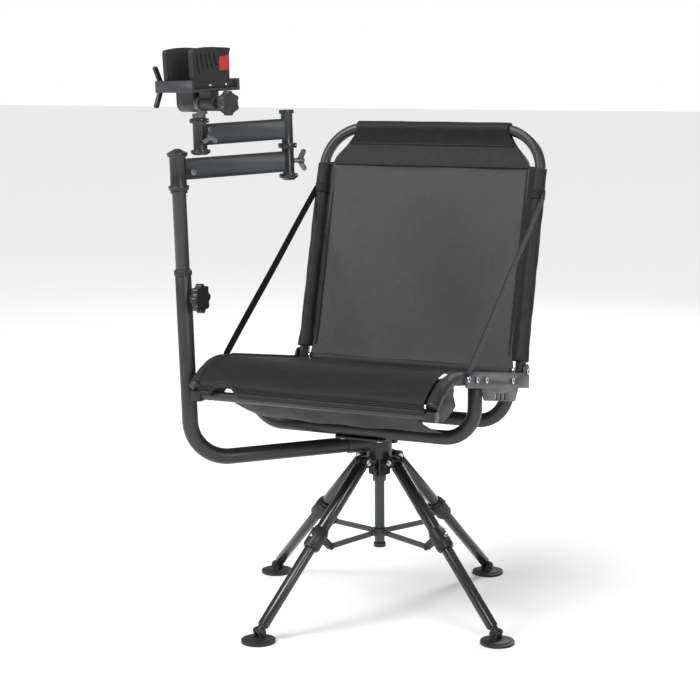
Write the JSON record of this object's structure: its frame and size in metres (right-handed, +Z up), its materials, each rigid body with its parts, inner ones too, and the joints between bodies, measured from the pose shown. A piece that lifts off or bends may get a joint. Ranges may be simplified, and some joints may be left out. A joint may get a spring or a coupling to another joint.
{
  "type": "climbing tree stand",
  "caption": "Folding swivel chair on four splayed telescopic legs, with a mesh back and a jointed side arm carrying a padded clamping rest.",
  "frame": {"origin": "on the swivel axis at ground level, midway between the four feet", "axes": "+Z up, the chair faces -Y, +X to the sitter's left"},
  "size_m": [0.7298, 0.7298, 1.2304],
  "materials": {
    "gloss_black": "gloss powder coat",
    "satin_black": "satin powder coat",
    "hub_black": "satin, cast",
    "bracket_grey": "textured powder coat",
    "bolt_steel": "satin",
    "button_steel": "satin",
    "link_grey": "satin",
    "stem_grey": "satin",
    "black_plastic": "moulded",
    "grey_plastic": "moulded",
    "jaw_rubber": "moulded",
    "foot_rubber": "moulded",
    "seat_cloth": "woven",
    "back_mesh": "open mesh",
    "strap_webbing": "flat webbing"
  },
  "bodies": {
    "base": {"hub": "hub_black", "centre_post": "satin_black", "post_button": "black_plastic", "leg_pivot_pins": "bolt_steel"},
    "spider": {"spider": "hub_black"},
    "strut_1": {"strut_1": "bracket_grey"},
    "leg_1": {"leg_upper_1": "gloss_black", "knuckle_1": "black_plastic"},
    "button_1": {"lock_button_1": "button_steel"},
    "lower_1": {"leg_lower_1": "gloss_black"},
    "foot_1": {"foot_1": "foot_rubber"},
    "strut_2": {"strut_2": "bracket_grey"},
    "leg_2": {"leg_upper_2": "gloss_black", "knuckle_2": "black_plastic"},
    "button_2": {"lock_button_2": "button_steel"},
    "lower_2": {"leg_lower_2": "gloss_black"},
    "foot_2": {"foot_2": "foot_rubber"},
    "strut_3": {"strut_3": "bracket_grey"},
    "leg_3": {"leg_upper_3": "gloss_black", "knuckle_3": "black_plastic"},
    "button_3": {"lock_button_3": "button_steel"},
    "lower_3": {"leg_lower_3": "gloss_black"},
    "foot_3": {"foot_3": "foot_rubber"},
    "strut_4": {"strut_4": "bracket_grey"},
    "leg_4": {"leg_upper_4": "gloss_black", "knuckle_4": "black_plastic"},
    "button_4": {"lock_button_4": "button_steel"},
    "lower_4": {"leg_lower_4": "gloss_black"},
    "foot_4": {"foot_4": "foot_rubber"},
    "seat": {"swivel_shaft": "bolt_steel", "seat_carrier": "bracket_grey", "hoop_front": "satin_black", "hoop_rear": "satin_black", "side_brackets": "bracket_grey", "side_rails": "satin_black", "front_rail": "satin_black", "corner_caps": "black_plastic", "frame_bolts": "bolt_steel", "carrier_bolts": "bolt_steel", "seat_fabric": "seat_cloth", "straps": "strap_webbing"},
    "back": {"back_frame": "satin_black", "back_fabric": "back_mesh"},
    "receiver": {"arm_receiver": "hub_black"},
    "receiver_knob": {"receiver_knob": "black_plastic"},
    "arm": {"arm_tube": "satin_black", "post_collar": "black_plastic"},
    "post_knob": {"post_knob": "black_plastic"},
    "post": {"upper_post": "satin_black"},
    "lower_link": {"lower_link": "link_grey"},
    "hub_screw": {"hub_screw": "bolt_steel"},
    "elbow_screw": {"elbow_screw": "bolt_steel"},
    "upper_link": {"upper_link": "link_grey"},
    "head_screw": {"head_screw": "bolt_steel"},
    "stem": {"head_stem": "stem_grey"},
    "cradle": {"cradle": "grey_plastic"},
    "tilt_knob": {"tilt_knob": "grey_plastic"},
    "jaw_near": {"jaw_near": "jaw_rubber"},
    "jaw_far": {"jaw_far": "jaw_rubber"},
    "cam_lever": {"cam_lever": "black_plastic"}
  },
  "joints": [
    {"name": "spider_lift", "type": "slide", "parent": "base", "child": "spider", "axis": [0, 0, 1], "range_m": [0, 0.0962]},
    {"name": "leg_fold_1", "type": "hinge", "parent": "base", "child": "leg_1", "pos_m": [-0.01759, -0.04466, 0.337], "axis": [0.9304, -0.3665, 0], "range_deg": [0, 34]},
    {"name": "strut_swing_1", "type": "hinge", "parent": "spider", "child": "strut_1", "pos_m": [-0.00733, -0.01861, 0.17], "axis": [0.9304, -0.3665, 0], "range_deg": [0, 81.37]},
    {"name": "leg_extend_1", "type": "slide", "parent": "leg_1", "child": "lower_1", "axis": [-0.2537, -0.644, -0.7218], "range_m": [-0.08, 0.03]},
    {"name": "leg_lock_1", "type": "slide", "parent": "leg_1", "child": "button_1", "axis": [0.2645, 0.6716, -0.6921], "range_m": [0, 0.0015], "stiffness_N_per_m": 900},
    {"name": "foot_tilt_1", "type": "hinge", "parent": "lower_1", "child": "foot_1", "pos_m": [-0.12829, -0.3257, 0.022], "axis": [0.9304, -0.3665, 0], "range_deg": [-20, 20]},
    {"name": "leg_fold_2", "type": "hinge", "parent": "base", "child": "leg_2", "pos_m": [0.04466, -0.01759, 0.337], "axis": [0.3665, 0.9304, 0], "range_deg": [0, 34]},
    {"name": "strut_swing_2", "type": "hinge", "parent": "spider", "child": "strut_2", "pos_m": [0.01861, -0.00733, 0.17], "axis": [0.3665, 0.9304, 0], "range_deg": [0, 81.37]},
    {"name": "leg_extend_2", "type": "slide", "parent": "leg_2", "child": "lower_2", "axis": [0.644, -0.2537, -0.7218], "range_m": [-0.08, 0.03]},
    {"name": "leg_lock_2", "type": "slide", "parent": "leg_2", "child": "button_2", "axis": [-0.6716, 0.2645, -0.6921], "range_m": [0, 0.0015], "stiffness_N_per_m": 900},
    {"name": "foot_tilt_2", "type": "hinge", "parent": "lower_2", "child": "foot_2", "pos_m": [0.3257, -0.12829, 0.022], "axis": [0.3665, 0.9304, 0], "range_deg": [-20, 20]},
    {"name": "leg_fold_3", "type": "hinge", "parent": "base", "child": "leg_3", "pos_m": [0.01759, 0.04466, 0.337], "axis": [-0.9304, 0.3665, 0], "range_deg": [0, 34]},
    {"name": "strut_swing_3", "type": "hinge", "parent": "spider", "child": "strut_3", "pos_m": [0.00733, 0.01861, 0.17], "axis": [-0.9304, 0.3665, 0], "range_deg": [0, 81.37]},
    {"name": "leg_extend_3", "type": "slide", "parent": "leg_3", "child": "lower_3", "axis": [0.2537, 0.644, -0.7218], "range_m": [-0.08, 0.03]},
    {"name": "leg_lock_3", "type": "slide", "parent": "leg_3", "child": "button_3", "axis": [-0.2645, -0.6716, -0.6921], "range_m": [0, 0.0015], "stiffness_N_per_m": 900},
    {"name": "foot_tilt_3", "type": "hinge", "parent": "lower_3", "child": "foot_3", "pos_m": [0.12829, 0.3257, 0.022], "axis": [-0.9304, 0.3665, 0], "range_deg": [-20, 20]},
    {"name": "leg_fold_4", "type": "hinge", "parent": "base", "child": "leg_4", "pos_m": [-0.04466, 0.01759, 0.337], "axis": [-0.3665, -0.9304, 0], "range_deg": [0, 34]},
    {"name": "strut_swing_4", "type": "hinge", "parent": "spider", "child": "strut_4", "pos_m": [-0.01861, 0.00733, 0.17], "axis": [-0.3665, -0.9304, 0], "range_deg": [0, 81.37]},
    {"name": "leg_extend_4", "type": "slide", "parent": "leg_4", "child": "lower_4", "axis": [-0.644, 0.2537, -0.7218], "range_m": [-0.08, 0.03]},
    {"name": "leg_lock_4", "type": "slide", "parent": "leg_4", "child": "button_4", "axis": [0.6716, -0.2645, -0.6921], "range_m": [0, 0.0015], "stiffness_N_per_m": 900},
    {"name": "foot_tilt_4", "type": "hinge", "parent": "lower_4", "child": "foot_4", "pos_m": [-0.3257, 0.12829, 0.022], "axis": [-0.3665, -0.9304, 0], "range_deg": [-20, 20]},
    {"name": "seat_swivel", "type": "hinge", "parent": "base", "child": "seat", "pos_m": [0, 0, 0.337], "axis": [0, 0, 1], "continuous": true},
    {"name": "back_fold", "type": "hinge", "parent": "seat", "child": "back", "pos_m": [0, 0.162, 0.524], "axis": [1, 0, 0], "range_deg": [0, 34], "deforming": ["straps"]},
    {"name": "arm_orbit", "type": "hinge", "parent": "seat", "child": "receiver", "pos_m": [0, 0, 0.375], "axis": [0, 0, 1], "range_deg": [-70, 0]},
    {"name": "receiver_knob_turn", "type": "hinge", "parent": "receiver", "child": "receiver_knob", "pos_m": [0.02067, 0.01887, 0.37573], "axis": [-0.7382, -0.6741, -0.0262], "range_deg": [-180, 180]},
    {"name": "arm_reach", "type": "slide", "parent": "receiver", "child": "arm", "axis": [-0.7382, -0.6741, -0.0262], "range_m": [0, 0.02]},
    {"name": "post_knob_turn", "type": "hinge", "parent": "arm", "child": "post_knob", "pos_m": [-0.31605, -0.2886, 0.71291], "axis": [0.9998, 0.0068, 0.0195], "range_deg": [-180, 180]},
    {"name": "post_height", "type": "slide", "parent": "arm", "child": "post", "axis": [-0.0193, -0.0177, 0.9997], "range_m": [-0.12, 0.08]},
    {"name": "link_swing", "type": "hinge", "parent": "post", "child": "lower_link", "pos_m": [-0.32081, -0.29294, 0.95883], "axis": [-0.0193, -0.0177, 0.9997], "continuous": true},
    {"name": "hub_screw_turn", "type": "hinge", "parent": "lower_link", "child": "hub_screw", "pos_m": [-0.30257, -0.27271, 0.97554], "axis": [0.8694, -0.494, 0.0081], "range_deg": [-180, 180]},
    {"name": "elbow_screw_turn", "type": "hinge", "parent": "lower_link", "child": "elbow_screw", "pos_m": [-0.18744, -0.05775, 0.98757], "axis": [0.4937, 0.8693, 0.0249], "range_deg": [-180, 180]},
    {"name": "elbow_swing", "type": "hinge", "parent": "lower_link", "child": "upper_link", "pos_m": [-0.18701, -0.05736, 0.96557], "axis": [-0.0193, -0.0177, 0.9997], "continuous": true},
    {"name": "head_screw_turn", "type": "hinge", "parent": "upper_link", "child": "head_screw", "pos_m": [-0.26815, -0.26346, 1.0479], "axis": [0.9055, -0.4243, 0.01], "range_deg": [-180, 180]},
    {"name": "head_pan", "type": "hinge", "parent": "upper_link", "child": "stem", "pos_m": [-0.28525, -0.26418, 1.08507], "axis": [-0.0193, -0.0177, 0.9997], "continuous": true},
    {"name": "head_tilt", "type": "hinge", "parent": "stem", "child": "cradle", "pos_m": [-0.28586, -0.26474, 1.11655], "axis": [0.9684, -0.2488, 0.0143], "range_deg": [-20, 20]},
    {"name": "tilt_knob_turn", "type": "hinge", "parent": "cradle", "child": "tilt_knob", "pos_m": [-0.28586, -0.26474, 1.11655], "axis": [0.9684, -0.2488, 0.0143], "range_deg": [-180, 180]},
    {"name": "jaw_near_slide", "type": "slide", "parent": "cradle", "child": "jaw_near", "axis": [-0.9684, 0.2488, -0.0143], "range_m": [-0.004, 0.02]},
    {"name": "jaw_far_slide", "type": "slide", "parent": "cradle", "child": "jaw_far", "axis": [0.9684, -0.2488, 0.0143], "range_m": [-0.004, 0.02]},
    {"name": "lever_turn", "type": "hinge", "parent": "cradle", "child": "cam_lever", "pos_m": [-0.34912, -0.29474, 1.15182], "axis": [-0.9684, 0.2488, -0.0143], "range_deg": [-35, 35]}
  ],
  "couplings": [
    {"joint": "spider_lift", "follows": "leg_fold_1", "m_per_rad": 0.16184},
    {"joint": "strut_swing_1", "follows": "leg_fold_1", "ratio": 2.3902},
    {"joint": "leg_fold_2", "follows": "leg_fold_1", "ratio": 1},
    {"joint": "strut_swing_2", "follows": "leg_fold_1", "ratio": 2.3902},
    {"joint": "leg_fold_3", "follows": "leg_fold_1", "ratio": 1},
    {"joint": "strut_swing_3", "follows": "leg_fold_1", "ratio": 2.3902},
    {"joint": "leg_fold_4", "follows": "leg_fold_1", "ratio": 1},
    {"joint": "strut_swing_4", "follows": "leg_fold_1", "ratio": 2.3902},
    {"joint": "jaw_far_slide", "follows": "jaw_near_slide", "ratio": 1}
  ]
}
